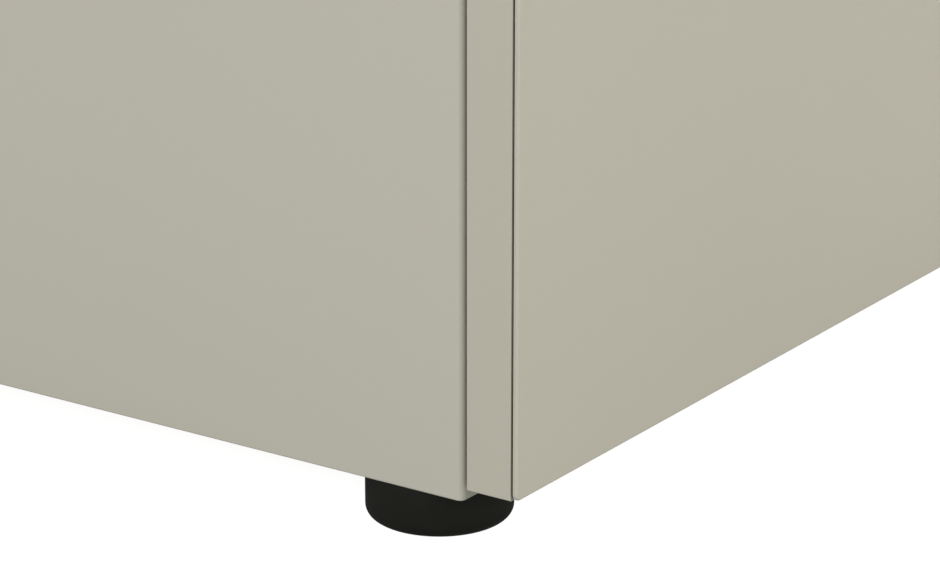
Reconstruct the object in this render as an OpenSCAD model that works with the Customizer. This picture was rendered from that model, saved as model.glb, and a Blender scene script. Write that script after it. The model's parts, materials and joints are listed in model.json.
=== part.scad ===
// Two-drawer steel filing cabinet.
// Local frame of every module: X to the right, Y from the drawer faces (0) to the back, Z up from the floor.
// place() moves that frame so that the origin is the middle of the footprint.

/* [Case] */
// Overall width of the case and of the drawer fronts
case_w = 460; // [440:5:500]
// Depth of the case behind the drawer fronts
case_d = 600; // [590:5:640]
// Height from the floor to the top face
total_h = 711; // [690:1:740]
// Thickness of the case sheet
sheet = 1.0; // [0.8:0.1:1.2]
// Width of the flanges folded inwards from the side sheets
flange_w = 20; // [18:1:20]
// Thickness of the top panel, measured over its folded edge
top_t = 19; // [17:1:21]
// Height of the fixed fascia that carries the lock
fascia_h = 38; // [36:1:42]

/* [Drawer fronts] */
// Thickness of a drawer front over skin and pan
front_t = 19.4; // [18:0.2:20]
// Thickness of the hemmed edge of the outer skin
skin_t = 1.6; // [1.4:0.1:2]
// Gap between a drawer front and the case, held by the bumpers
front_gap = 1.6; // [1.6:0.2:4]
// Gap between neighbouring fronts
reveal = 3; // [2:0.5:4]
// Height of the lowest drawer front above the lower edge of the case
front_raise = 4.5; // [4:0.5:6]

/* [Drawers] */
// Height of the sides of a drawer tub
tub_h = 250; // [230:5:250]
// Thickness of the tub sheet
tub_t = 1.0; // [0.8:0.1:1.2]
// How far a drawer pulls out
travel = 500; // [450:10:500]
// Length of each runner member
runner_len = 550; // [540:1:552]

/* [Handles] */
// Distance between the two posts of a handle
handle_pitch = 128; // [96:32:160]
// Diameter of the handle bar
handle_d = 10; // [8:1:12]
// How far the handle bar stands in front of the drawer face
handle_proud = 30; // [27:1:34]

/* [Feet] */
// Diameter of a levelling foot
foot_d = 50; // [40:1:50]
// Height of the case above the floor with the feet screwed home
foot_h = 18; // [16:1:22]
// Distance from the rim of a foot to the side of the case
foot_inset = 1; // [0:0.5:4]
// Distance from the rim of a foot to the front or the back of the case
foot_setback = 2; // [0:0.5:6]
// Radius of the rounded lower edge of a foot
foot_round = 4; // [2:0.5:5]

/* [Hidden] */

$fn = 64;
PAINT = [0.70, 0.69, 0.64];
INSIDE = [0.62, 0.61, 0.57];
ZINC = [0.74, 0.75, 0.76];
BLACK = [0.08, 0.08, 0.08];
CUT = 1; // how far a cutter runs past the face that it opens

// Planes of the case
half_w = case_w / 2;
case_y0 = front_t + front_gap;
case_y1 = case_y0 + case_d;
top_z0 = total_h - top_t;
seam = 0.6;
inner_x = half_w - flange_w;
rivet_proud = 1.2;
base_z = foot_h + sheet;

// Fronts
fascia_z0 = top_z0 - seam - fascia_h;
front_z0 = foot_h + front_raise;
front_h = (fascia_z0 - reveal - front_z0 - reveal) / 2;
BOTTOM = front_z0;
TOP = front_z0 + front_h + reveal;
hem_w = 12;
skin_sheet = 0.8;

// Runners: three nested channels in the space beside the tub
runner_w = 12.7;
runner_h = 45;
runner_t = 1.2;
runner_y0 = case_y0 + 6;
runner_z = 90; // height of the runner's middle above the bottom of its drawer front
mid_h = 37.8;
mid_x = inner_x - 4.4;
drawer_member_h = 30;

// Tub
tub_x = inner_x - runner_w;
tub_z = 30; // height of the tub floor above the bottom of its drawer front
tub_y1 = case_y1 - 32;
rail_t = 2;
rail_h = 14;

// Uprights that carry the runners
upright_w = 40;
upright_t = 1.5;
upright_front_y = case_y0 + 38;
upright_rear_y = case_y1 - 77;
slot_pitch = 25;

// Handle and label
handle_drop = 100; // from the top of the drawer front to the handle
label_drop = 45;
screw_r = 2;
label_w = 84;
label_h = 44;
label_border = 6;
label_t = 2.5;
card_w = 76;
card_h = 38;
card_t = 0.4;

// Feet
foot_r = foot_d / 2;
foot_x = half_w - foot_inset - foot_r;
foot_y_front = case_y0 + foot_setback + foot_r;
foot_y_rear = case_y1 - foot_setback - foot_r;
foot_clear = 0.3;
stud_r = 4.95;
stud_z0 = 8;
stud_len = 37;
nut_h = 12;

// Lock and locking bar
lock_x = half_w - 40;
lock_z = fascia_z0 + fascia_h / 2;
lock_r = 9.5;
lock_len = 27;
barrel_r = 6.5;
crank = 4; // sideways and downward offset of the drive pin from the lock axis
pin_r = 2;
bar_y = case_y0 + 10;
bar_t = 2;
bar_x0 = inner_x + 3;
bar_w = 12;
hook_z = 150; // height of the hook above the bottom of its drawer front
hook_x = inner_x - 7;
tooth = 10;

footprint_d = case_y1 + rivet_proud + handle_proud;
front_y = handle_proud - footprint_d / 2;

module place() {
    translate([0, front_y, 0]) children();
}

// A box from its lowest to its highest corner
module block(low, high) {
    translate(low) cube(high - low);
}

module on_both_sides() {
    children();
    mirror([1, 0, 0]) children();
}

// A cylinder along Y from y0 to y1
module rod_y(x, z, r, y0, y1, fn = 64) {
    translate([x, y0, z]) rotate([-90, 0, 0]) cylinder(h = y1 - y0, r = r, $fn = fn);
}

// ---- Case ----

// Right side sheet with its four folded flanges and the lip behind the front one
module case_side() {
    color(PAINT) union() {
        block([half_w - sheet, case_y0, foot_h], [half_w, case_y1, top_z0]);
        block([inner_x, case_y0, foot_h], [half_w, case_y0 + sheet, top_z0]);
        block([inner_x, case_y0, base_z + sheet], [inner_x + sheet, case_y0 + 5, top_z0]);
        block([inner_x, case_y0, foot_h], [half_w, case_y1, foot_h + sheet]);
        block([half_w - 16, case_y1 - sheet, foot_h], [half_w, case_y1, top_z0]);
        block([inner_x, case_y0, top_z0 - sheet], [half_w, case_y1, top_z0]);
    }
}

module case_back() {
    fixing_x = 150;
    fixing_z = top_z0 - 32;
    y1 = case_y1 - sheet;
    color(PAINT) difference() {
        block([sheet - half_w, y1 - sheet, base_z + sheet], [half_w - sheet, y1, top_z0 - sheet]);
        for (x = [-fixing_x, fixing_x]) rod_y(x, fixing_z, 3.5, y1 - sheet - CUT, y1 + CUT);
    }
}

// Shallow tray turned upside down, with a return all round its lower edge
module case_top() {
    lip = 15;
    color(PAINT) difference() {
        block([-half_w, 0, top_z0], [half_w, case_y1, total_h]);
        block([sheet - half_w, sheet, top_z0 + sheet], [half_w - sheet, case_y1 - sheet, total_h - sheet]);
        block([lip - half_w, lip, top_z0 - CUT], [half_w - lip, case_y1 - lip, top_z0 + 2 * sheet]);
    }
}

// Floor of the case, with the front rail folded up from it
module case_base() {
    rail_top = foot_h + 30;
    color(PAINT) difference() {
        union() {
            block([sheet - half_w, case_y0 + sheet, base_z], [half_w - sheet, case_y1 - 2 * sheet, base_z + sheet]);
            block([-inner_x, case_y0, foot_h], [inner_x, case_y0 + sheet, rail_top]);
            block([-inner_x, case_y0, base_z], [inner_x, case_y0 + 2 * sheet, base_z + sheet]);
            block([-inner_x, case_y0, rail_top - sheet], [inner_x, case_y0 + 15, rail_top]);
            block([sheet - half_w, case_y1 - 3 * sheet, base_z], [half_w - sheet, case_y1 - 2 * sheet, rail_top]);
        }
        for (x = [-foot_x, foot_x], y = [foot_y_front, foot_y_rear])
            translate([x, y, base_z - CUT]) cylinder(h = sheet + 2 * CUT, r = stud_r + 0.4);
    }
}

// Fixed channel between the top panel and the upper drawer front
module front_fascia() {
    color(PAINT) difference() {
        block([-half_w, 0, fascia_z0], [half_w, case_y0, top_z0 - seam]);
        block([sheet - half_w, sheet, fascia_z0 + sheet], [half_w - sheet, case_y0 + CUT, top_z0 - seam - sheet]);
        rod_y(lock_x, lock_z, lock_r + 0.1, -CUT, 2 * CUT);
    }
}

// Cross rail behind the gap between the drawer fronts
module mid_rail() {
    z0 = TOP - reveal - 17;
    z1 = z0 + 37;
    color(PAINT) union() {
        block([-inner_x, case_y0, z0], [inner_x, case_y0 + sheet, z1]);
        block([-inner_x, case_y0, z0], [inner_x, case_y0 + 18, z0 + sheet]);
        block([-inner_x, case_y0, z1 - sheet], [inner_x, case_y0 + 18, z1]);
    }
}

// Slotted channel between the side sheet and the runners
module upright(y0) {
    z0 = base_z + sheet;
    z1 = top_z0 - 2 * sheet;
    slots = floor((z1 - z0 - 40) / slot_pitch);
    color(INSIDE) difference() {
        block([inner_x, y0, z0], [half_w - sheet, y0 + upright_w, z1]);
        block([inner_x + upright_t, y0 + upright_t, z0 - CUT], [half_w, y0 + upright_w - upright_t, z1 + CUT]);
        for (i = [0:slots]) let (z = z0 + 20 + i * slot_pitch)
            block([inner_x - CUT, y0 + 17, z], [inner_x + 2 * CUT, y0 + 23, z + 12]);
    }
}

// Rivet heads that hold the back to the side flanges, and the nut that clamps the lock in the fascia
module case_fasteners() {
    color(ZINC) {
        for (x = [8 - half_w, half_w - 8], z = [60, 355, 650])
            translate([x, case_y1, z]) rotate([-90, 0, 0]) cylinder(h = rivet_proud, r1 = 4, r2 = 2.4);
        difference() {
            rod_y(lock_x, lock_z, 13, sheet, sheet + 4, 6);
            rod_y(lock_x, lock_z, lock_r + 0.05, 0, 2 * CUT + 4);
        }
    }
}

// ---- Feet ----

module foot() {
    bore_r = stud_r + 0.1;
    arc = [for (i = [0:8]) let (a = i * 90 / 8)
        [foot_r - foot_round + foot_round * sin(a), foot_round - foot_round * cos(a)]];
    color(BLACK) rotate_extrude($fn = 96)
        polygon(concat([[0, 0]], arc, [[foot_r, foot_h - foot_clear], [bore_r, foot_h - foot_clear],
            [bore_r, stud_z0], [0, stud_z0]]));
}

module foot_stud() {
    color(ZINC) union() {
        translate([0, 0, stud_z0]) cylinder(h = stud_len - 1, r = stud_r);
        translate([0, 0, stud_z0 + stud_len - 1]) cylinder(h = 1, r1 = stud_r, r2 = stud_r - 1);
    }
}

module foot_nuts() {
    color(ZINC) for (x = [-foot_x, foot_x], y = [foot_y_front, foot_y_rear])
        translate([x, y, base_z + sheet]) difference() {
            cylinder(h = nut_h, r = 8);
            translate([0, 0, -CUT]) cylinder(h = nut_h + 2 * CUT, r = stud_r + 0.05);
        }
}

// ---- Runners, right hand, with z as the height of the runner's middle ----

// A channel along Y whose web is at web_x and whose lips run to lip_x
module channel(web_x, lip_x, h, z) {
    dir = sign(lip_x - web_x);
    web_end = web_x + dir * runner_t;
    lo = min(web_x, lip_x);
    hi = max(web_x, lip_x);
    translate([0, runner_y0, z]) union() {
        block([min(web_x, web_end), 0, -h / 2], [max(web_x, web_end), runner_len, h / 2]);
        for (s = [0, 1]) mirror([0, 0, s]) block([lo, 0, h / 2 - runner_t], [hi, runner_len, h / 2]);
    }
}

module runner_fixed(base) {
    color(ZINC) channel(inner_x, inner_x - 10.5, runner_h, base + runner_z);
}

module runner_mid(base) {
    color(ZINC) channel(mid_x + runner_t, mid_x - 6.4, mid_h, base + runner_z);
}

module runner_drawer(base) {
    color(ZINC) channel(tub_x, tub_x + 6.2, drawer_member_h, base + runner_z);
}

// ---- Drawers, with base as the height of the bottom of the drawer front ----

module handle_holes(base, y0, y1) {
    for (x = [-handle_pitch / 2, handle_pitch / 2])
        rod_y(x, base + front_h - handle_drop, screw_r + 0.3, y0, y1, 32);
}

// Outer sheet of the drawer front, hemmed to double thickness round its edge
module front_skin(base) {
    color(PAINT) difference() {
        block([-half_w, 0, base], [half_w, skin_t, base + front_h]);
        block([hem_w - half_w, skin_sheet, base + hem_w], [half_w - hem_w, skin_t + CUT, base + front_h - hem_w]);
        handle_holes(base, -CUT, skin_t + CUT);
    }
}

// Folded tray that gives the drawer front its thickness
module front_pan(base) {
    color(PAINT) difference() {
        block([-half_w, skin_t, base], [half_w, front_t, base + front_h]);
        block([sheet - half_w, skin_t - CUT, base + sheet], [half_w - sheet, front_t - sheet, base + front_h - sheet]);
        handle_holes(base, front_t - 2 * sheet, front_t + CUT);
    }
}

module drawer_tub(base) {
    z0 = base + tub_z;
    color(INSIDE) difference() {
        block([-tub_x, front_t, z0], [tub_x, tub_y1, z0 + tub_h]);
        block([tub_t - tub_x, front_t + tub_t, z0 + tub_t], [tub_x - tub_t, tub_y1 - tub_t, z0 + tub_h + CUT]);
        handle_holes(base, front_t - CUT, front_t + tub_t + CUT);
    }
}

// Rails for hanging folders, one along the inside of each tub wall
module file_rails(base) {
    z1 = base + tub_z + tub_h + 6;
    x1 = tub_x - tub_t;
    color(ZINC) on_both_sides()
        block([x1 - rail_t, front_t + 6, z1 - rail_h], [x1, tub_y1 - 4, z1]);
}

module handle(base) {
    z = base + front_h - handle_drop;
    bar_y0 = handle_d / 2 - handle_proud;
    overhang = 21;
    color(ZINC) difference() {
        union() {
            for (x = [-handle_pitch / 2, handle_pitch / 2]) rod_y(x, z, handle_d / 2 - 0.8, bar_y0, 0);
            translate([-handle_pitch / 2 - overhang, bar_y0, z]) rotate([0, 90, 0])
                cylinder(h = handle_pitch + 2 * overhang, r = handle_d / 2);
        }
        for (x = [-handle_pitch / 2, handle_pitch / 2]) rod_y(x, z, screw_r + 0.05, -14, CUT, 32);
    }
}

module handle_screws(base) {
    z = base + front_h - handle_drop;
    y0 = front_t + tub_t;
    color(ZINC) for (x = [-handle_pitch / 2, handle_pitch / 2]) union() {
        rod_y(x, z, screw_r, -13, y0, 32);
        rod_y(x, z, 4, y0, y0 + 2.5, 32);
    }
}

// Frame for a paper label, open at the top
module label_holder(base) {
    z = base + front_h - label_drop;
    pocket_w = card_w + 0.6;
    color(ZINC) difference() {
        block([-label_w / 2, -label_t, z - label_h / 2], [label_w / 2, 0, z + label_h / 2]);
        block([-pocket_w / 2, -1.5, z - card_h / 2], [pocket_w / 2, CUT, z + label_h / 2 + CUT]);
        block([label_border - label_w / 2, -label_t - CUT, z + label_border - label_h / 2],
            [label_w / 2 - label_border, 0, z - label_border + label_h / 2]);
    }
}

module label_card(base) {
    z = base + front_h - label_drop;
    color("white") block([-card_w / 2, -1.1, z - card_h / 2], [card_w / 2, card_t - 1.1, z + card_h / 2]);
}

module drawer_bumpers(base) {
    color(BLACK) for (x = [10 - half_w, half_w - 10], z = [base + 18, base + front_h - 18])
        rod_y(x, z, 5, front_t, case_y0 - 0.3);
}

// Bracket on the back of the drawer front, with a tooth that the locking bar catches
module lock_hook(base) {
    z = base + hook_z;
    y1 = bar_y + bar_t + 5.5;
    color(ZINC) union() {
        block([hook_x - 3.5, front_t, z - 4], [hook_x + 5.5, front_t + 1.5, z + 12]);
        block([hook_x, front_t + 1, z], [hook_x + 2, y1, z + 8]);
        block([hook_x, y1 - 4, z - tooth], [hook_x + 2, y1, z + 1]);
    }
}

// ---- Lock ----

module lock_housing() {
    color(ZINC) difference() {
        union() {
            rod_y(lock_x, lock_z, lock_r + 2, -1.5, 0);
            rod_y(lock_x, lock_z, lock_r, 0, lock_len);
        }
        rod_y(lock_x, lock_z, barrel_r + 0.05, -2 * CUT, lock_len + CUT);
    }
}

module lock_barrel() {
    color(ZINC) difference() {
        rod_y(lock_x, lock_z, barrel_r, -1.5, lock_len + 0.8);
        block([lock_x - 0.7, -2 * CUT, lock_z - 3.75], [lock_x + 0.7, 20, lock_z + 3.75]);
    }
}

// Disc on the tail of the barrel, with the drive pin at its lower left
module lock_cam() {
    y0 = lock_len + 0.8;
    color(ZINC) union() {
        rod_y(lock_x, lock_z, 9, y0, bar_y - 0.7);
        rod_y(lock_x - crank, lock_z - crank, pin_r, bar_y - 1, bar_y + bar_t + 1.5, 32);
    }
}

module key() {
    blade = [[-5, -3.2], [19, -3.2], [19, 0.6], [17, 2.6], [15, 1.2], [12.5, 3.2], [10, 1.6], [7.5, 3.2], [-5, 3.2]];
    color(ZINC) union() {
        translate([lock_x + 0.5, 0, lock_z]) rotate([90, 0, -90]) linear_extrude(height = 1)
            polygon([for (p = blade) [-p[0], p[1]]]);
        difference() {
            translate([lock_x - 1.2, -14.5, lock_z]) rotate([0, 90, 0]) cylinder(h = 2.4, r = 11);
            translate([lock_x - 2.2, -20, lock_z]) rotate([0, 90, 0]) cylinder(h = 4.4, r = 2.5);
        }
    }
}

// Flat bar that stands behind the right front flange
module lock_bar() {
    color(ZINC) block([bar_x0, bar_y, BOTTOM + hook_z - 45], [bar_x0 + bar_w, bar_y + bar_t, lock_z - crank + 7]);
}

// Plates welded to the edge of the bar: a slotted one at the lock and a tab for each drawer
module lock_bar_plates() {
    head_z = lock_z - crank;
    pin_reach = crank * sqrt(2);
    slot_x0 = lock_x - pin_reach - 0.6;
    slot_x1 = lock_x - crank + 0.6;
    slot_r = pin_r + 0.4;
    color(ZINC) {
        difference() {
            block([lock_x - 14, bar_y, head_z - 7], [bar_x0, bar_y + bar_t, head_z + 7]);
            for (x = [slot_x0, slot_x1]) rod_y(x, head_z, slot_r, bar_y - CUT, bar_y + bar_t + CUT, 32);
            block([slot_x0, bar_y - CUT, head_z - slot_r], [slot_x1, bar_y + bar_t + CUT, head_z + slot_r]);
        }
        for (base = [BOTTOM, TOP]) let (z1 = base + hook_z - tooth - 1)
            block([hook_x - 2, bar_y, z1 - 8], [bar_x0, bar_y + bar_t, z1]);
    }
}

module lock_bar_guides() {
    slack = 0.4;
    color(BLACK) for (z = [BOTTOM + 230, TOP + 240]) difference() {
        block([bar_x0 - 1.5, case_y0 + sheet, z], [half_w - sheet, bar_y + bar_t + 3, z + 12]);
        block([bar_x0 - slack, bar_y - slack, z - CUT], [bar_x0 + bar_w + slack, bar_y + bar_t + slack, z + 12 + CUT]);
    }
}

// ---- One line for each node ----

place() {
    mirror([1, 0, 0]) case_side();  // case_side_left
    case_side();  // case_side_right
    case_back();
    case_top();
    case_base();
    front_fascia();
    mid_rail();
    case_fasteners();
    foot_nuts();
    lock_housing();
    lock_barrel();
    lock_cam();
    key();
    lock_bar();
    lock_bar_plates();
    lock_bar_guides();

    for (s = [["left", 1], ["right", 0]]) mirror([s[1], 0, 0]) {
        upright(upright_front_y);
        upright(upright_rear_y);
        for (d = [["top_", TOP], ["bottom_", BOTTOM]]) {
            runner_fixed(d[1]);
            runner_mid(d[1]);
            runner_drawer(d[1]);
        }
        for (e = [["front_", foot_y_front], ["rear_", foot_y_rear]]) translate([foot_x, e[1], 0]) {
            foot();
            foot_stud();
        }
    }

    for (d = [["top", TOP], ["bottom", BOTTOM]]) {
        front_skin(d[1]);
        front_pan(d[1]);
        drawer_tub(d[1]);
        file_rails(d[1]);
        handle(d[1]);
        handle_screws(d[1]);
        label_holder(d[1]);
        label_card(d[1]);
        drawer_bumpers(d[1]);
        lock_hook(d[1]);
    }
}
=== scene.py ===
# %% [markdown]
# # A two-drawer steel filing cabinet
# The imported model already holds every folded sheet, runner, foot and lock part in its right place.
# Blender adds what folding, moulding and plating leave behind: bend radii, rounded hems, seams,
# threads, ball cages, and the paint, plating, plastic and paper themselves. A piece that needs only
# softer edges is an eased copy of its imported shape. A piece whose bends show is folded up again
# from flat sheet, with its true radius and gauge.

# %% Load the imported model
import json
import math

import bmesh
import bpy
from mathutils import Matrix, Vector


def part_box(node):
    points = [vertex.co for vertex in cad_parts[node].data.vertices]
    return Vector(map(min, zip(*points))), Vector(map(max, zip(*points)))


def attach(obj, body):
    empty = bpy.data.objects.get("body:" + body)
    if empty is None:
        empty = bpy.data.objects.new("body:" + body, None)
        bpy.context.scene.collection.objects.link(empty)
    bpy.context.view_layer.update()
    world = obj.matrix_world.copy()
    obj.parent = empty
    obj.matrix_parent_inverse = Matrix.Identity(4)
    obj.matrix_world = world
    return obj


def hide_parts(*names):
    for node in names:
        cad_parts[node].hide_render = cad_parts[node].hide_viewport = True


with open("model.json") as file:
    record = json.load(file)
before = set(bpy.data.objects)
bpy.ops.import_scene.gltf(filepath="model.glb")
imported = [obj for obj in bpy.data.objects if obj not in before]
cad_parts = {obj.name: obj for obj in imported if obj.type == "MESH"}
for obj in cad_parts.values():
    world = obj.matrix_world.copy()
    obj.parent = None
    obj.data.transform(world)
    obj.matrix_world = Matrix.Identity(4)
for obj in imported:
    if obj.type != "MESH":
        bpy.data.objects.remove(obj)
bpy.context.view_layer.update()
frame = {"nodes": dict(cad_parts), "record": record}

MM = 0.001
DRAWERS = ("top", "bottom")
SIDES = ("left", "right")
ENDS = ("front", "rear")

# %% [markdown]
# ## The place of the camera
# A long lens looks at one bottom corner of the cabinet, so that upright edges stay almost parallel.
# The camera is placed from the lower corner of the lowest drawer front: back from it against the
# direction of view, and then aside until that corner has its place in the picture. The corner stays
# there when the cabinet's size changes.

# %% Aim the camera at the bottom corner
SENSOR, LENS = 36.0, 119.9413
AZIMUTH, ELEVATION, ROLL = math.radians(-55.634), math.radians(17.84), math.radians(0.022)
CORNER_DEPTH = 0.99755
# How far right of and below the middle of the picture the corner lies, in widths of the picture
CORNER_RIGHT, CORNER_DOWN = 0.049468, 0.229096

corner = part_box("front_skin_bottom")[0]
level = math.cos(ELEVATION)
back = Vector((math.sin(AZIMUTH) * level, -math.cos(AZIMUTH) * level, math.sin(ELEVATION)))
right = (-back).cross(Vector((0, 0, 1))).normalized()
up = right.cross(-back)
turn = Matrix.Rotation(ROLL, 3, back)
right, up = turn @ right, turn @ up
view_width = CORNER_DEPTH * SENSOR / LENS
aside = up * CORNER_DOWN * view_width - right * CORNER_RIGHT * view_width
position = corner + back * CORNER_DEPTH + aside

camera_data = bpy.data.cameras.new("corner_camera")
camera_data.sensor_width = SENSOR
camera_data.lens = LENS
camera_data.clip_start = 0.02
camera = bpy.data.objects.new("corner_camera", camera_data)
camera.matrix_world = Matrix.Translation(position) @ Matrix((right, up, back)).transposed().to_4x4()
bpy.context.scene.collection.objects.link(camera)
bpy.context.scene.camera = camera
print("camera at", [round(c, 3) for c in position], "lens", round(camera_data.lens, 1), "mm")

# %% [markdown]
# ## Floor and light
# The cabinet stands on a pale floor in a white studio. Only the camera sees the floor glow and the
# surround at full white. So the ground looks white right up to the cabinet, and the cabinet is lit
# by no more than the panels, a dimmer surround and what the floor sends back of them.

# %% Lay the floor
bpy.context.scene.view_settings.view_transform = "Standard"
FLOOR_SIZE = 24.0
FLOOR_DROP = 0.2 * MM
FLOOR_GLOW = 0.90


def lay_floor():
    shape = bmesh.new()
    bmesh.ops.create_grid(shape, x_segments=2, y_segments=2, size=FLOOR_SIZE / 2)
    mesh = bpy.data.meshes.new("studio_floor")
    shape.to_mesh(mesh)
    shape.free()
    floor = bpy.data.objects.new("studio_floor", mesh)
    floor.location.z = -FLOOR_DROP
    bpy.context.scene.collection.objects.link(floor)
    paint = bpy.data.materials.new("pale_floor")
    paint.use_nodes = True
    surface = paint.node_tree.nodes["Principled BSDF"]
    surface.inputs["Base Color"].default_value = (0.50, 0.50, 0.495, 1)
    surface.inputs["Roughness"].default_value = 0.9
    surface.inputs["Specular IOR Level"].default_value = 0.1
    surface.inputs["Emission Color"].default_value = (1.0, 1.0, 0.995, 1)
    seen = paint.node_tree.nodes.new("ShaderNodeLightPath")
    glow = paint.node_tree.nodes.new("ShaderNodeMath")
    glow.operation = "MULTIPLY"
    glow.inputs[1].default_value = FLOOR_GLOW
    paint.node_tree.links.new(seen.outputs["Is Camera Ray"], glow.inputs[0])
    paint.node_tree.links.new(glow.outputs["Value"], surface.inputs["Emission Strength"])
    mesh.materials.append(paint)


lay_floor()
print("floor", FLOOR_SIZE, "m square")

# %% [markdown]
# ### Surround and panels
# An even surround fills every shadow. Four soft panels then shape the faces. The side panel and the
# front panel each look almost straight at one face, so both faces come out about equally bright. The
# rounded edge of the drawer front turns from one to the other, and it shows as a light line. The top
# panel is weak, and the rear panel keeps the right side and the back from going flat.

# %% Light the studio
SURROUND, SEEN_SURROUND = 0.56, 1.0


def add_range(tree, value, low, high, to_low=0.0, to_high=1.0):
    """Stretches a value between low and high over to_low and to_high. Each of them may be a socket."""
    stretch = tree.nodes.new("ShaderNodeMapRange")
    tree.links.new(value, stretch.inputs["Value"])
    limits = {"From Min": low, "From Max": high, "To Min": to_low, "To Max": to_high}
    for label, amount in limits.items():
        if isinstance(amount, (int, float)):
            stretch.inputs[label].default_value = amount
        else:
            tree.links.new(amount, stretch.inputs[label])
    return stretch.outputs["Result"]


def white_surround():
    """An even surround that lights the cabinet with SURROUND and looks white to the camera."""
    world = bpy.data.worlds.new("white_surround")
    world.use_nodes = True
    tree = world.node_tree
    light = tree.nodes["Background"]
    light.inputs["Color"].default_value = (1.0, 0.995, 0.985, 1)
    seen = tree.nodes.new("ShaderNodeLightPath")
    strength = add_range(tree, seen.outputs["Is Camera Ray"], 0.0, 1.0, SURROUND, SEEN_SURROUND)
    tree.links.new(strength, light.inputs["Strength"])
    return world


bpy.context.scene.world = white_surround()
print("surround", SURROUND, "and", SEEN_SURROUND, "to the camera")

# %% Hang the panels
AIM = Vector((0, 0, 0.30))


def soft_panel(name, place, size, watts, tint):
    """A square panel of light that faces the cabinet."""
    data = bpy.data.lights.new(name, "AREA")
    data.shape = "SQUARE"
    data.size = size
    data.energy = watts
    data.color = tint
    panel = bpy.data.objects.new(name, data)
    panel.location = place
    panel.rotation_euler = (AIM - Vector(place)).to_track_quat("-Z", "Y").to_euler()
    bpy.context.scene.collection.objects.link(panel)


PANELS = {
    "side_panel_light": ((-5.4, -0.4, 2.6), 2.8, 157, (1.0, 0.995, 0.985)),
    "front_panel_light": ((0.6, -5.2, 2.2), 2.4, 138, (1.0, 0.99, 0.955)),
    "top_panel_light": ((0.3, 0.4, 3.4), 2.6, 26, (1.0, 1.0, 1.0)),
    "rear_panel_light": ((3.6, 4.2, 2.4), 2.4, 110, (1.0, 1.0, 1.0)),
}
for name, (place, size, watts, tint) in PANELS.items():
    soft_panel(name, place, size, watts, tint)
print("soft panels:", len(PANELS))

# %% [markdown]
# ## Surface effects
# Paint, plating and plastic share a few effects: a slow cloudy change of tone, a fine grain, and
# the fine parallel scratches of a brushed metal. Each effect is one shader group with named inputs,
# so every finish uses it with its own values. All of them read Object coordinates, which are metres
# on the real cabinet, so a grain of half a millimetre keeps its size on every piece.


# %% Start a shader group
def start_group(name, inputs, outputs):
    """An empty group with its sockets. inputs are (label, kind, default), outputs are (label, kind)."""
    group = bpy.data.node_groups.new(name, "ShaderNodeTree")
    for label, kind, value in inputs:
        socket = group.interface.new_socket(label, in_out="INPUT", socket_type=kind)
        if value is not None:
            socket.default_value = value
    for label, kind in outputs:
        group.interface.new_socket(label, in_out="OUTPUT", socket_type=kind)
    return group, group.nodes.new("NodeGroupInput"), group.nodes.new("NodeGroupOutput")


def add_noise(tree, vector, scale, detail=2.0, roughness=0.5):
    """A noise texture; scale is a number or a socket."""
    noise = tree.nodes.new("ShaderNodeTexNoise")
    noise.inputs["Detail"].default_value = detail
    noise.inputs["Roughness"].default_value = roughness
    tree.links.new(vector, noise.inputs["Vector"])
    if isinstance(scale, (int, float)):
        noise.inputs["Scale"].default_value = scale
    else:
        tree.links.new(scale, noise.inputs["Scale"])
    return noise


# %% [markdown]
# ### Cloudy tone
# No coat is perfectly even. A slow noise with a few softer layers moves the colour and the roughness
# between two close values, which the eye reads as a real painted or plated surface.

# %% Build the cloudy tone group
cloudy, enter, leave = start_group(
    "cloudy_tone",
    [("Vector", "NodeSocketVector", None), ("Scale", "NodeSocketFloat", 6.0),
     ("Contrast", "NodeSocketFloat", 0.25)],
    [("Tone", "NodeSocketFloat")],
)
NOISE_MIDDLE = 0.5
slow = add_noise(cloudy, enter.outputs["Vector"], enter.outputs["Scale"], detail=3.0, roughness=0.45)
edges = []
for operation in ("SUBTRACT", "ADD"):
    edge = cloudy.nodes.new("ShaderNodeMath")
    edge.operation = operation
    edge.inputs[0].default_value = NOISE_MIDDLE
    cloudy.links.new(enter.outputs["Contrast"], edge.inputs[1])
    edges.append(edge.outputs[0])
cloudy.links.new(add_range(cloudy, slow.outputs["Fac"], *edges), leave.inputs["Tone"])
print("group", cloudy.name)

# %% [markdown]
# ### Fine grain
# Powder coat levels into a skin like orange peel, about one and a half millimetres from hill to
# hill. Moulded plastic carries the spark-eroded grain of its tool. Both are two noises, a coarse one
# and one four times finer, mixed into a height that bends the light in a Bump node.

# %% Build the fine grain group
grain, enter, leave = start_group(
    "fine_grain",
    [("Vector", "NodeSocketVector", None), ("Scale", "NodeSocketFloat", 700.0),
     ("Fineness", "NodeSocketFloat", 0.3)],
    [("Height", "NodeSocketFloat")],
)
FINER = 4.0
coarse = add_noise(grain, enter.outputs["Vector"], enter.outputs["Scale"], detail=1.0)
finer = grain.nodes.new("ShaderNodeMath")
finer.operation = "MULTIPLY"
finer.inputs[1].default_value = FINER
grain.links.new(enter.outputs["Scale"], finer.inputs[0])
fine = add_noise(grain, enter.outputs["Vector"], finer.outputs[0], detail=1.0)
both = grain.nodes.new("ShaderNodeMix")
grain.links.new(enter.outputs["Fineness"], both.inputs["Factor"])
grain.links.new(coarse.outputs["Fac"], both.inputs["A"])
grain.links.new(fine.outputs["Fac"], both.inputs["B"])
grain.links.new(both.outputs["Result"], leave.inputs["Height"])
print("group", grain.name)

# %% [markdown]
# ### Brushing
# A belt leaves long scratches along a part. The Stretch input squeezes the coordinates across the
# scratches and draws them out along them, so that an ordinary noise turns into lines.

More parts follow.
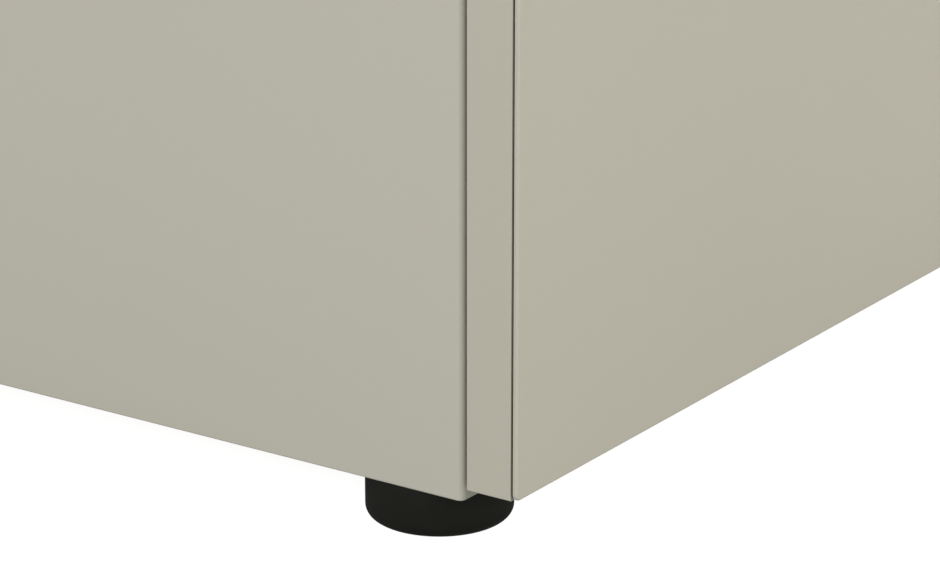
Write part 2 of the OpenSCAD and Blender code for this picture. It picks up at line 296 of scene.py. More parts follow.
# %% Build the brushing group
brushing, enter, leave = start_group(
    "brushing",
    [("Vector", "NodeSocketVector", None),
     ("Stretch", "NodeSocketVector", (20.0, 2500.0, 2500.0))],
    [("Lines", "NodeSocketFloat")],
)
drawn = brushing.nodes.new("ShaderNodeVectorMath")
drawn.operation = "MULTIPLY"
brushing.links.new(enter.outputs["Vector"], drawn.inputs[0])
brushing.links.new(enter.outputs["Stretch"], drawn.inputs[1])
lines = add_noise(brushing, drawn.outputs[0], 1.0, detail=3.0, roughness=0.6)
brushing.links.new(lines.outputs["Fac"], leave.inputs["Lines"])
print("group", brushing.name)


# %% [markdown]
# ## Finishes
# Every finish starts from the same three steps: a colour that drifts between two close tones, a
# roughness that drifts with it, and a fine height for the bump. The steps are put together here
# once, and each finish then adds what is its own.


# %% Put a finish together
def place_group(tree, group, **values):
    """Places a group in a tree, with a number or a socket for each input, and gives its output."""
    node = tree.nodes.new("ShaderNodeGroup")
    node.node_tree = group
    for label, value in values.items():
        if isinstance(value, (int, float, tuple)):
            node.inputs[label].default_value = value
        else:
            tree.links.new(value, node.inputs[label])
    return node.outputs[0]


def mix_colour(tree, factor, low, high):
    """Mixes two colours, each a tuple or a socket. The colour sockets of a Mix node are 6, 7 and 2."""
    mix = tree.nodes.new("ShaderNodeMix")
    mix.data_type = "RGBA"
    tree.links.new(factor, mix.inputs["Factor"])
    for socket, colour in ((mix.inputs[6], low), (mix.inputs[7], high)):
        if isinstance(colour, tuple):
            socket.default_value = (*colour, 1)
        else:
            tree.links.new(colour, socket)
    return mix.outputs[2]


def make_finish(name, low, high, cloud, contrast=0.25, rough=(0.4, 0.5), height=None, strength=0.1,
                depth=0.02 * MM, **shader):
    """A material whose colour and roughness follow the cloudy tone.

    height is a function of the tree and the place, and shader holds the shader's own constants."""
    finish = bpy.data.materials.new(name)
    finish.use_nodes = True
    tree = finish.node_tree
    surface = tree.nodes["Principled BSDF"]
    place = tree.nodes.new("ShaderNodeTexCoord").outputs["Object"]
    tone = place_group(tree, cloudy, Vector=place, Scale=cloud, Contrast=contrast)
    tree.links.new(mix_colour(tree, tone, low, high), surface.inputs["Base Color"])
    tree.links.new(add_range(tree, tone, 0.0, 1.0, *rough), surface.inputs["Roughness"])
    if height is not None:
        bump = tree.nodes.new("ShaderNodeBump")
        bump.inputs["Strength"].default_value = strength
        bump.inputs["Distance"].default_value = depth
        tree.links.new(height(tree, place), bump.inputs["Height"])
        tree.links.new(bump.outputs["Normal"], surface.inputs["Normal"])
    for label, value in shader.items():
        surface.inputs[label.replace("_", " ")].default_value = value
    return finish


def base_colour(finish, change):
    """Puts change(tree, place, plain) in place of the plain base colour of a finish."""
    tree = finish.node_tree
    surface = tree.nodes["Principled BSDF"]
    place = next(node for node in tree.nodes if node.type == "TEX_COORD").outputs["Object"]
    plain = surface.inputs["Base Color"].links[0].from_socket
    tree.links.new(change(tree, place, plain), surface.inputs["Base Color"])


def peel(scale, fineness):
    return lambda tree, place: place_group(tree, grain, Vector=place, Scale=scale, Fineness=fineness)


def brush(stretch):
    return lambda tree, place: place_group(tree, brushing, Vector=place, Stretch=stretch)


print("effects:", cloudy.name, grain.name, brushing.name)


# %% [markdown]
# ### Powder coat
# The sheet steel is sprayed with powder and baked: an even stone grey, a little yellow, with a
# satin skin. Three batches are enough: the case, the drawer fronts, which come out a touch warmer,
# and the tubs, which get a thinner and rougher coat.

# %% Mix the powder coats
COAT_DEPTH = 0.03 * MM
coat_case = make_finish("powder_coat_case", (0.466, 0.450, 0.388), (0.478, 0.462, 0.399), cloud=3.0,
                        rough=(0.44, 0.50), height=peel(650, 0.25), strength=0.12, depth=COAT_DEPTH)
coat_front = make_finish("powder_coat_front", (0.454, 0.437, 0.367), (0.466, 0.449, 0.378), cloud=3.0,
                         rough=(0.43, 0.49), height=peel(650, 0.25), strength=0.12, depth=COAT_DEPTH)
coat_tub = make_finish("powder_coat_tub", (0.440, 0.426, 0.362), (0.466, 0.450, 0.383), cloud=7.0,
                       rough=(0.50, 0.60), height=peel(900, 0.4), strength=0.2, depth=COAT_DEPTH)
print("powder coats:", coat_case.name, coat_front.name, coat_tub.name)

# %% [markdown]
# ### Zinc
# The uprights are made of galvanised sheet, where the zinc froze into flat crystals a few
# millimetres wide. Each crystal is a Voronoi cell with its own tone and gloss. Screws, rails and
# runners are plated instead: no crystals, and a brighter, bluer metal with a trace of yellow.


# %% Make the galvanised sheet
CRYSTAL = 6 * MM
CRYSTAL_COLOUR, CRYSTAL_SHARE = (0.72, 0.73, 0.745), 0.55
CRYSTAL_ROUGH = (0.34, 0.5)


def spangle(tree, place, plain):
    """Mixes a brighter zinc into the plain colour, crystal by crystal, and sets their roughness."""
    cells = tree.nodes.new("ShaderNodeTexVoronoi")
    cells.inputs["Scale"].default_value = 1.0 / CRYSTAL
    tree.links.new(place, cells.inputs["Vector"])
    grey = tree.nodes.new("ShaderNodeSeparateColor")
    tree.links.new(cells.outputs["Color"], grey.inputs["Color"])
    tone = grey.outputs["Red"]
    rough = add_range(tree, tone, 0.0, 1.0, *CRYSTAL_ROUGH)
    tree.links.new(rough, tree.nodes["Principled BSDF"].inputs["Roughness"])
    return mix_colour(tree, add_range(tree, tone, 0.0, 1.0, 0.0, CRYSTAL_SHARE), plain, CRYSTAL_COLOUR)


galvanised = make_finish("galvanised_sheet", (0.50, 0.51, 0.52), (0.60, 0.61, 0.62), cloud=20.0,
                         height=peel(1500, 0.5), strength=0.15, Metallic=1.0)
base_colour(galvanised, spangle)
print("galvanised sheet:", galvanised.name)

# %% Make the plated metals
FINE = 0.01 * MM
ALONG_RUNNER = (1400.0, 10.0, 1400.0)
zinc_plate = make_finish("bright_zinc_plate", (0.66, 0.675, 0.70), (0.72, 0.715, 0.68), cloud=60.0,
                         contrast=0.18, rough=(0.26, 0.34), height=peel(2500, 0.5), strength=0.04,
                         depth=FINE, Metallic=1.0)
runner_steel = make_finish("rolled_zinc", (0.67, 0.68, 0.695), (0.74, 0.735, 0.71), cloud=25.0,
                           contrast=0.2, rough=(0.27, 0.33), height=brush(ALONG_RUNNER), strength=0.05,
                           depth=FINE, Metallic=1.0)
ball_steel = make_finish("ball_steel", (0.70, 0.70, 0.71), (0.76, 0.76, 0.77), cloud=90.0,
                         rough=(0.08, 0.14), Metallic=1.0)
print("plated metals:", zinc_plate.name, runner_steel.name, ball_steel.name)

# %% [markdown]
# ### Nickel and chrome
# The handle and the label holder are brushed along their length and nickel plated, so the light
# draws out across them. The lock face is turned on a lathe: its scratches are circles round the
# lock's axis, made from the distance to that axis.

# %% Make the nickels
ALONG_HANDLE, ALONG_KEY = (25.0, 3200.0, 3200.0), (1500.0, 40.0, 1500.0)
satin_nickel = make_finish("satin_nickel", (0.60, 0.585, 0.55), (0.67, 0.655, 0.62), cloud=30.0,
                           contrast=0.2, rough=(0.26, 0.34), height=brush(ALONG_HANDLE), strength=0.22,
                           depth=FINE, Metallic=1.0, Anisotropic=0.5)
key_nickel = make_finish("worn_nickel", (0.62, 0.605, 0.56), (0.70, 0.685, 0.64), cloud=120.0,
                         contrast=0.16, rough=(0.18, 0.32), height=brush(ALONG_KEY), strength=0.15,
                         depth=FINE, Metallic=1.0)
print("nickels:", satin_nickel.name, key_nickel.name)

# %% Make the turned chrome
RINGS_PER_M = 4000.0
low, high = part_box("lock_barrel")
LOCK_AXIS = Vector(((low.x + high.x) / 2, 0, (low.z + high.z) / 2))


def lathe_rings(tree, place):
    """A height that depends only on the distance to the lock's axis."""
    centre = tree.nodes.new("ShaderNodeMapping")
    centre.inputs["Location"].default_value = -LOCK_AXIS
    tree.links.new(place, centre.inputs["Vector"])
    flat = tree.nodes.new("ShaderNodeVectorMath")
    flat.operation = "MULTIPLY"
    flat.inputs[1].default_value = (1.0, 0.0, 1.0)
    tree.links.new(centre.outputs["Vector"], flat.inputs[0])
    radius = tree.nodes.new("ShaderNodeVectorMath")
    radius.operation = "LENGTH"
    tree.links.new(flat.outputs[0], radius.inputs[0])
    rings = tree.nodes.new("ShaderNodeTexNoise")
    rings.noise_dimensions = "1D"
    rings.inputs["Scale"].default_value = RINGS_PER_M
    tree.links.new(radius.outputs["Value"], rings.inputs["W"])
    return rings.outputs["Fac"]


lock_chrome = make_finish("turned_chrome", (0.74, 0.74, 0.745), (0.80, 0.80, 0.805), cloud=80.0,
                          rough=(0.12, 0.2), height=lathe_rings, strength=0.12, depth=FINE, Metallic=1.0)
print("chrome:", lock_chrome.name)

# %% [markdown]
# ### Plastic, rubber and paper
# The feet are moulded in black plastic with a dull, finely eroded skin that only just catches the
# light on its rounded lower edge. The bumpers are softer and duller rubber. The label is white
# card: a trace of fibre in the colour and in the surface, no gloss at all, and faint ruled lines to
# write on. A line shows wherever the height above the floor has just passed a whole pitch.

# %% Make the plastics and the rubber
foot_plastic = make_finish("foot_black", (0.0060, 0.0064, 0.0046), (0.0090, 0.0094, 0.0070),
                           cloud=40.0, rough=(0.46, 0.56), height=peel(2200, 0.5), strength=0.2,
                           Specular_IOR_Level=0.14)
guide_plastic = make_finish("guide_black", (0.016, 0.016, 0.016), (0.022, 0.022, 0.022), cloud=60.0,
                            rough=(0.38, 0.46), height=peel(2600, 0.4), strength=0.1, depth=FINE)
bumper_rubber = make_finish("bumper_rubber", (0.022, 0.022, 0.021), (0.034, 0.033, 0.031), cloud=150.0,
                            rough=(0.72, 0.86), height=peel(3200, 0.6), strength=0.3,
                            Specular_IOR_Level=0.2)
print("dull finishes:", foot_plastic.name, guide_plastic.name, bumper_rubber.name)

# %% Rule the card
RULE_PITCH, RULE_W = 9 * MM, 0.35 * MM
INK = (0.44, 0.50, 0.55)


def ruled(tree, place, plain):
    """Faint lines across the plain colour, one in every pitch."""
    split = tree.nodes.new("ShaderNodeSeparateXYZ")
    tree.links.new(place, split.inputs["Vector"])
    rise = split.outputs["Z"]
    steps = {"DIVIDE": RULE_PITCH, "FRACT": 0.0, "LESS_THAN": RULE_W / RULE_PITCH}
    for operation, amount in steps.items():
        step = tree.nodes.new("ShaderNodeMath")
        step.operation = operation
        tree.links.new(rise, step.inputs[0])
        step.inputs[1].default_value = amount
        rise = step.outputs["Value"]
    return mix_colour(tree, rise, plain, INK)


label_card = make_finish("label_card", (0.79, 0.78, 0.735), (0.82, 0.81, 0.765), cloud=420.0,
                         contrast=0.3, rough=(0.86, 0.95), height=peel(3600, 0.6), strength=0.2,
                         Specular_IOR_Level=0.1)
base_colour(label_card, ruled)
print("card:", label_card.name)

# %% [markdown]
# ### Which finish goes where
# The record gives each node a slot, and each slot gets one finish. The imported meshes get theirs
# first, and each piece made below takes the slot of the node that it stands for.

# %% Share out the finishes
FINISH = {
    "case_paint": coat_case,
    "front_paint": coat_front,
    "tub_paint": coat_tub,
    "upright_steel": galvanised,
    "runner_steel": runner_steel,
    "zinc_plate": zinc_plate,
    "handle_metal": satin_nickel,
    "label_metal": satin_nickel,
    "lock_chrome": lock_chrome,
    "key_nickel": key_nickel,
    "foot_plastic": foot_plastic,
    "guide_plastic": guide_plastic,
    "rubber_bumper": bumper_rubber,
    "label_paper": label_card,
}
SLOT_OF = {part["node"]: part["material_slot"] for part in frame["record"]["subparts"]}
BODY_OF = {node: body for body, nodes in frame["record"]["behaviour"]["bodies"].items() for node in nodes}

for node, item in frame["nodes"].items():
    item.data.materials.clear()
    item.data.materials.append(FINISH[SLOT_OF[node]])
print("finishes on", len(frame["nodes"]), "packed nodes")


# %% [markdown]
# ## Making a piece
# A finished mesh becomes a piece in one place: it gets its name, finish and slot, rides on the body
# of the node that it stands for, and takes that node's place in the picture. Faces that meet at a
# low angle are shaded smooth, and sharp corners stay sharp. Smooth shading alone would tilt the light
# on a large flat face near its bends, so a Weighted Normal modifier gives such a face its own normal.


# %% Turn a mesh into a piece
SMOOTH_BELOW = math.radians(32)


def weigh_normals(piece):
    """Lets the large flat faces keep their own normal, so only the bends between them shade round."""
    weigh = piece.modifiers.new("flat_faces", "WEIGHTED_NORMAL")
    weigh.mode = "FACE_AREA"
    weigh.weight = 100
    weigh.keep_sharp = True


def finish_piece(name, shape, node, slot=None, replaces=True):
    """Makes a piece from a bmesh. node gives its body and its slot, and is the node that it replaces."""
    for edge in shape.edges:
        edge.smooth = len(edge.link_faces) == 2 and edge.calc_face_angle(0.0) < SMOOTH_BELOW
    for face in shape.faces:
        face.smooth = True
    mesh = bpy.data.meshes.new(name)
    shape.to_mesh(mesh)
    shape.free()
    piece = bpy.data.objects.new(name, mesh)
    bpy.context.scene.collection.objects.link(piece)
    slot = slot or SLOT_OF[node]
    mesh.materials.append(FINISH[slot])
    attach(piece, BODY_OF[node])
    if replaces:
        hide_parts(node)
    return piece


print("shaded smooth below", round(math.degrees(SMOOTH_BELOW)), "degrees")


# %% [markdown]
# ## Eased copies
# Most hidden hardware already has its right shape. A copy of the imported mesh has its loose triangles
# merged and its flat faces joined, and a Bevel modifier then takes the sharpness off every edge, as
# tumbling, plating and paint do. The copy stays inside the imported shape.


# %% Ease the edges of a node
SAME_POINT = 0.002 * MM
FLAT = math.radians(0.4)


def clean_copy(node):
    """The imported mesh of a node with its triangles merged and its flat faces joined."""
    shape = bmesh.new()
    shape.from_mesh(frame["nodes"][node].data)
    bmesh.ops.remove_doubles(shape, verts=shape.verts, dist=SAME_POINT)
    bmesh.ops.dissolve_limit(shape, angle_limit=FLAT, verts=shape.verts, edges=shape.edges)
    return shape


def ease_edges(piece, radius, angle=40):
    ease = piece.modifiers.new("eased_edges", "BEVEL")
    ease.width = radius
    ease.segments = 2
    ease.limit_method = "ANGLE"
    ease.angle_limit = math.radians(angle)
    weigh_normals(piece)


def eased_copy(node, radius):
    ease_edges(finish_piece(node + "_eased", clean_copy(node), node), radius)


# %% Ease the hidden hardware
EASED = {
    "case_base": 0.4, "mid_rail": 0.4, "lock_bar_plates": 0.4, "lock_cam": 0.3, "lock_bar": 0.4,
    "lock_bar_guides": 0.5, "foot_nuts": 0.8, "key": 0.3,
}
for drawer in DRAWERS:
    EASED.update({"label_card_" + drawer: 0.1, "file_rails_" + drawer: 0.5, "lock_hook_" + drawer: 0.3,
                  "drawer_bumpers_" + drawer: 0.8, "handle_screws_" + drawer: 0.5})
    for side in SIDES:
        EASED.update({f"runner_{member}_{drawer}_{side}": 0.45 for member in ("fixed", "mid", "drawer")})
for end in ENDS:
    for side in SIDES:
        EASED[f"upright_{end}_{side}"] = 0.5
for node, radius in EASED.items():
    eased_copy(node, radius * MM)
print("eased copies:", len(EASED))


# %% [markdown]
# ## Folded sheet
# The sides, the top, the fascia, the drawer pans and the tubs are all the same kind of thing: a
# tray folded from one sheet, open on one face. The tray starts as a cube the size of the packed
# part. The open face is removed, or cut back to a narrow return. Then the folds are rounded to
# their bend radius, and the wall gets its gauge from a Solidify modifier, towards the inside.

# %% Pull a cube to size and round its edges
ON_FACE = 0.01 * MM
FOLD_ANGLE = 0.5  # radians between the faces at a fold, well above any rounding


def box_shape(low, high):
    """A cube pulled to two corners."""
    shape = bmesh.new()
    bmesh.ops.create_cube(shape, size=1.0)
    bmesh.ops.scale(shape, vec=high - low, verts=shape.verts)
    bmesh.ops.translate(shape, vec=(low + high) / 2, verts=shape.verts)
    return shape


def face_towards(shape, direction):
    return max(shape.faces, key=lambda face: face.normal.dot(Vector(direction)))


def round_edges(shape, edges, radius, segments=4):
    bmesh.ops.bevel(shape, geom=list(edges), offset=radius, offset_type="OFFSET", affect="EDGES",
                    segments=segments, profile=0.5, material=-1, clamp_overlap=True)


def edges_at(shape, y):
    """Sharp edges that lie in the plane across Y at y."""
    return [edge for edge in shape.edges if all(abs(v.co.y - y) < ON_FACE for v in edge.verts)
            and edge.calc_face_angle(0.0) > FOLD_ANGLE]


def span(edge, axis):
    """The length of an edge along one axis, 0 for X, 1 for Y and 2 for Z."""
    return abs(edge.verts[0].co[axis] - edge.verts[1].co[axis])


print("an edge is a fold above", round(math.degrees(FOLD_ANGLE)), "degrees")


# %% Fold a tray
def fold_tray(low, high, open_to, bend, lip=0.0, front_bend=0.0):
    """A tray with rounded folds, open towards one direction, with a return of width lip.

    front_bend is the larger radius of its upright front fold, where it has one."""
    shape = box_shape(low, high)
    mouth = face_towards(shape, open_to)
    if lip:
        bmesh.ops.inset_individual(shape, faces=[mouth], thickness=lip, use_even_offset=True)
    bmesh.ops.delete(shape, geom=[mouth], context="FACES_ONLY")
    if front_bend:
        upright = [edge for edge in edges_at(shape, low.y) if span(edge, 2) > front_bend]
        round_edges(shape, upright, front_bend, 8)
    folds = [edge for edge in shape.edges if edge.calc_face_angle(0.0) > FOLD_ANGLE]
    round_edges(shape, folds, bend, 5)
    bmesh.ops.recalc_face_normals(shape, faces=shape.faces)
    return shape


GAUGE = 1.0 * MM


def add_gauge(piece, gauge=GAUGE):
    wall = piece.modifiers.new("sheet_gauge", "SOLIDIFY")
    wall.thickness = gauge
    wall.offset = -1
    wall.use_even_offset = True
    weigh_normals(piece)


print("sheet gauge", GAUGE / MM, "mm")

# %% [markdown]
# ### The sides of the case
# Each side is one sheet, folded inwards along all four edges. The front fold is rounder than the
# others, and the shadow of the gap fades in over it. A short second fold behind the front flange
# stiffens it. That lip is a small bar of its own, because it starts from the flange's inner edge.

# %% Fold the sides
BEND = 0.7 * MM
FRONT_BEND = 2.4 * MM
LIP_START, LIP_END, LIP_EDGE = Vector((0, 0.5, 3)) * MM, Vector((0, 5, -2)) * MM, 0.3 * MM
for side, inwards in (("left", (1, 0, 0)), ("right", (-1, 0, 0))):
    node = "case_side_" + side
    low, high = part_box(node)
    tray = fold_tray(low, high, inwards, BEND, front_bend=FRONT_BEND)
    add_gauge(finish_piece(node + "_folded", tray, node))
    flange_end = high.x - GAUGE if side == "left" else low.x
    lip_low = Vector((flange_end, low.y, low.z)) + LIP_START
    lip_high = Vector((flange_end + GAUGE, low.y, high.z)) + LIP_END
    lip = box_shape(lip_low, lip_high)
    round_edges(lip, lip.edges, LIP_EDGE, 2)
    finish_piece(node + "_front_lip", lip, node, replaces=False)
    print(node, "folded,", round(1000 * (high.z - low.z)), "mm tall")

# %% [markdown]
# ### The back
# A flat sheet this large would rattle, so the press raises two wide, shallow fields in it. The
# packed sheet is copied, cut along the borders of each field on both faces, and the part inside is
# inset and moved back by its rise. The two fixing holes near the top stay as they are. The bevel
# only takes angles above those of the fields' slopes, which stay crisp.

# %% Press the back
FIELD_RISE, FIELD_SLOPE, FIELD_MARGIN, BACK_EDGE = 0.8 * MM, 1.0 * MM, 42 * MM, 0.3 * MM
FACES_ALONG = 0.99


def faces_inside(faces, low, high, axes):
    """Faces whose middle lies between two corners on the given axes."""
    return [face for face in faces
            if all(low[axis] < face.calc_center_median()[axis] < high[axis] for axis in axes)]


def verts_of(faces):
    return list({vert for face in faces for vert in face.verts})


def cut_across(shape, axis, places, faces=None):
    """Cuts the shape, or only the faces that a function picks, across an axis at each place."""
    normal = Vector([float(axis == i) for i in range(3)])
    for place in places:
        chosen = shape.faces[:] if faces is None else faces()
        geom = chosen + list({edge for face in chosen for edge in face.edges}) + verts_of(chosen)
        bmesh.ops.bisect_plane(shape, geom=geom, dist=SAME_POINT / 2, plane_co=normal * place,
                               plane_no=normal)


def press_field(shape, low, high):
    """Raises the part of a sheet between two corners towards +Y, on both of its faces."""
    cut_across(shape, 0, (low.x, high.x))
    cut_across(shape, 2, (low.z, high.z))
    for sense in (-1, 1):
        field = faces_inside([face for face in shape.faces if face.normal.y * sense > FACES_ALONG],
                             low, high, (0, 2))
        bmesh.ops.inset_region(shape, faces=field, thickness=FIELD_SLOPE, use_even_offset=True,
                               use_boundary=True)
        bmesh.ops.translate(shape, vec=(0, FIELD_RISE, 0), verts=verts_of(field))


low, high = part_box("case_back")
shape = clean_copy("case_back")
middle = (low.z + high.z) / 2
for bottom, top in ((low.z + FIELD_MARGIN, middle - FIELD_MARGIN), (middle, high.z - 2 * FIELD_MARGIN)):
    press_field(shape, Vector((low.x + FIELD_MARGIN, 0, bottom)), Vector((high.x - FIELD_MARGIN, 0, top)))
ease_edges(finish_piece("case_back_pressed", shape, "case_back"), BACK_EDGE, angle=60)
print("back with two pressed fields,", round(FIELD_RISE / MM, 1), "mm high")

# %% [markdown]
# ### The drawer fronts
# A front is two sheets. The outer skin is hemmed: its edge is folded back on itself, which makes it
# twice as thick there and rounds it. Behind it sits a folded pan that gives the front its depth.
# Where the two meet there is a narrow dark seam all the way round, so the pan starts seven tenths
# of a millimetre behind the hem.

# %% Hem a skin
HEM = 12 * MM
SKIN_CORNER, SKIN_EDGE, HEM_EDGE = 2.6 * MM, 0.9 * MM, 0.25 * MM


def hemmed_skin(low, high):
    shape = box_shape(low, high)
    rear = face_towards(shape, (0, 1, 0))
    bmesh.ops.inset_individual(shape, faces=[rear], thickness=HEM, use_even_offset=True)
    bmesh.ops.translate(shape, vec=(0, -0.5 * (high.y - low.y), 0), verts=rear.verts)
    corners = [edge for edge in shape.edges if span(edge, 1) > MM
               and all(abs(v.co.x) > high.x - MM for v in edge.verts)]
    round_edges(shape, corners, SKIN_CORNER)
    round_edges(shape, edges_at(shape, low.y), SKIN_EDGE)
    back_rim = [edge for edge in edges_at(shape, high.y)
                if max(abs(v.co.x) for v in edge.verts) > high.x - 3 * MM]
    round_edges(shape, back_rim, HEM_EDGE, 2)
    bmesh.ops.recalc_face_normals(shape, faces=shape.faces)
    return shape


print("a skin is hemmed over", round(HEM / MM), "mm")

# %% Fold a pan behind each skin
SEAM = 0.7 * MM
PAN_BEND, PAN_GAUGE = 0.5 * MM, 0.9 * MM
for drawer in DRAWERS:
    node = "front_skin_" + drawer
    weigh_normals(finish_piece(node + "_hemmed", hemmed_skin(*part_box(node)), node))
    node = "front_pan_" + drawer
    low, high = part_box(node)
    pan = fold_tray(low + Vector((0, SEAM, 0)), high, (0, -1, 0), PAN_BEND)
    add_gauge(finish_piece(node + "_folded", pan, node), PAN_GAUGE)
print("fronts:", len(DRAWERS), "with a seam of", round(SEAM / MM, 1), "mm")

# %% [markdown]
# ### Top panel and fascia
# The top is the same kind of tray, turned upside down, with a return folded in under its edge. The
# fascia between the top and the upper drawer is a fixed channel that looks like one more narrow
# drawer front. It carries the lock.

# %% Fold the top panel and the fascia
TOP_BEND, TOP_RETURN, FASCIA_BEND = 2.0 * MM, 14 * MM, 1.5 * MM
low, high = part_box("case_top")
tray = fold_tray(low, high, (0, 0, -1), TOP_BEND, lip=TOP_RETURN)
add_gauge(finish_piece("case_top_folded", tray, "case_top"))
print("top panel", round((high.z - low.z) / MM), "mm over its edge")
low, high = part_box("front_fascia")
add_gauge(finish_piece("front_fascia_folded", fold_tray(low, high, (0, 1, 0), FASCIA_BEND), "front_fascia"))
print("fascia", round((high.z - low.z) / MM), "mm tall")

# %% [markdown]
# ### The drawer tubs
# A tub is a deep tray. Its wide floor would drum, so the press raises two long shallow ribs in it.
# They are made before the sheet gets its gauge, by insetting two strips of the floor and lifting
# them, which gives them sloping sides.

# %% Fold the tubs
TUB_BEND = 2.2 * MM
RIB_W, RIB_H, RIB_SLOPE, RIB_MARGIN, RIB_OFFSET = 46 * MM, 2.2 * MM, 3 * MM, 60 * MM, 70 * MM


def ribbed_tub(low, high):
    shape = fold_tray(low, high, (0, 0, 1), TUB_BEND)
    middle = (low.x + high.x) / 2

    def floor():
        return [face for face in shape.faces if abs(face.normal.z) > FACES_ALONG
                and face.calc_center_median().z < low.z + MM]

    centres = [middle - RIB_OFFSET, middle + RIB_OFFSET]
    cut_across(shape, 0, [x + half for x in centres for half in (-RIB_W / 2, RIB_W / 2)], floor)
    front, rear = low.y + RIB_MARGIN, high.y - RIB_MARGIN
    cut_across(shape, 1, (front, rear), floor)
    ribs = []
    for x in centres:
        corners = Vector((x - RIB_W / 2, front, 0)), Vector((x + RIB_W / 2, rear, 0))
        ribs += faces_inside(floor(), *corners, (0, 1))
    bmesh.ops.inset_individual(shape, faces=ribs, thickness=RIB_SLOPE, use_even_offset=True)
    bmesh.ops.translate(shape, vec=(0, 0, RIB_H), verts=verts_of(ribs))
    return shape, len(ribs)


for drawer in DRAWERS:
    node = "drawer_tub_" + drawer
    shape, ribs = ribbed_tub(*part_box(node))
    add_gauge(finish_piece(node + "_folded", shape, node))
    print("tub", drawer, "with", ribs, "ribs in its floor")

# %% [markdown]
# ## The levelling feet
# A foot is a round pad with a generous radius where it meets the floor, and a shallow recess
# underneath so that it stands on its rim. Its outline is drawn once as a chain of edges, from the
# middle of the underside to the bottom of the bore, and spun round the stud's axis.


# %% Spin a profile
def spin_profile(points, centre, axis=(0, 0, 1), steps=72):
    """Spins a chain of (radius, height) points round an axis through centre and closes its poles."""
    shape = bmesh.new()
    axis = Vector(axis)
    out = Vector((1, 0, 0)) if abs(axis.x) < 0.5 else Vector((0, 0, 1))
    chain = [shape.verts.new(centre + out * r + axis * h) for r, h in points]
    edges = [shape.edges.new(pair) for pair in zip(chain, chain[1:])]
    bmesh.ops.spin(shape, geom=chain + edges, cent=centre, axis=axis, angle=math.tau, steps=steps,
                   use_merge=True)
    bmesh.ops.remove_doubles(shape, verts=shape.verts, dist=SAME_POINT)
    bmesh.ops.recalc_face_normals(shape, faces=shape.faces)
    return shape


def arc(centre, radius, start, end, steps=6):
    """Points of a rounded corner in a profile, angles in degrees."""
    turns = [math.radians(start + (end - start) * i / steps) for i in range(steps + 1)]
    return [(centre[0] + radius * math.cos(a), centre[1] + radius * math.sin(a)) for a in turns]


def millimetres(points):
    return [(r * MM, h * MM) for r, h in points]


def foot_of(low, high):
    """The middle of the lower face of a box."""
    return Vector(((low.x + high.x) / 2, (low.y + high.y) / 2, low.z))


print("points of a rounded corner:", len(arc((0, 0), 1, 0, 90)))

# %% Turn the feet
FOOT_R, FOOT_ROUND, FOOT_EDGE, FOOT_STEPS = 25.0, 4.0, 0.6, 128
RECESS_R, RECESS_H, RECESS_EDGE = 15.0, 1.2, 0.6
BORE_R, BORE_EDGE, BORE_END = 5.1, 0.5, 8.0


def foot_outline(top):
    """Points of the foot's outline, in millimetres, from the middle of its underside to its bore."""
    outline = [(0, RECESS_H), (RECESS_R - 1, RECESS_H)]
    outline += [*arc((RECESS_R, RECESS_EDGE), RECESS_EDGE, 90, 0, 2), (RECESS_R + RECESS_EDGE, 0)]
    outline += arc((FOOT_R - FOOT_ROUND, FOOT_ROUND), FOOT_ROUND, -90, 0, 10)
    outline += arc((FOOT_R - FOOT_EDGE, top - FOOT_EDGE), FOOT_EDGE, 0, 90, 3)
    outline += arc((BORE_R + BORE_EDGE, top - BORE_EDGE), BORE_EDGE, 90, 180, 2)
    return outline + [(BORE_R, BORE_END), (0, BORE_END)]


for end in ENDS:
    for side in SIDES:
        node = f"foot_{end}_{side}"
        low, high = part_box(node)
        outline = millimetres(foot_outline((high.z - low.z) / MM))
        finish_piece(node + "_turned", spin_profile(outline, foot_of(low, high), steps=FOOT_STEPS), node)
print("feet turned,", round(2 * FOOT_R), "mm across")

# %% [markdown]
# ### Threaded studs
# The stud's thread is a real helix: one V-shaped profile, spun round the axis while it rises by the
# pitch at every turn. It shows when a foot is screwed down. A plain core inside it closes the stud.

# %% Cut the threads
PITCH, THREAD_DEPTH, CREST = 1.5 * MM, 0.85 * MM, 0.2 * MM
THREAD_START, THREAD_SPARE, STEPS_IN_TURN = 0.4 * MM, 2.5 * MM, 24
CORE_EDGE, CORE_TIP = 0.3 * MM, Vector((0.9, 1.0)) * MM


def thread(start, outer, turns):
    """A helix of V-shaped turns round the Z axis through start."""
    shape = bmesh.new()
    root, below_crest = outer - THREAD_DEPTH, (PITCH - CREST) / 2
    profile = [(root, 0.0), (outer, below_crest), (outer, below_crest + CREST), (root, PITCH)]
    chain = [shape.verts.new(start + Vector((r, 0, THREAD_START + h))) for r, h in profile]
    edges = [shape.edges.new(pair) for pair in zip(chain, chain[1:])]
    bmesh.ops.spin(shape, geom=chain + edges, cent=start, axis=(0, 0, 1),
                   dvec=(0, 0, PITCH / STEPS_IN_TURN), angle=math.tau * turns, steps=STEPS_IN_TURN * turns)
    bmesh.ops.remove_doubles(shape, verts=shape.verts, dist=2 * SAME_POINT)
    bmesh.ops.recalc_face_normals(shape, faces=shape.faces)
    return shape


for end in ENDS:
    for side in SIDES:
        node = f"foot_stud_{end}_{side}"
        low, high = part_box(node)
        start, outer, length = foot_of(low, high), (high.x - low.x) / 2, high.z - low.z
        turns = int((length - THREAD_SPARE) / PITCH)
        finish_piece(node + "_thread", thread(start, outer, turns), node)
        root = outer - THREAD_DEPTH
        outline = [(0, 0), (root - CORE_EDGE, 0), (root, CORE_EDGE), (root, length - CORE_TIP.y),
                   (root - CORE_TIP.x, length), (0, length)]
        finish_piece(node + "_core", spin_profile(outline, start, steps=40), node, replaces=False)
print("studs threaded,", turns, "turns each")

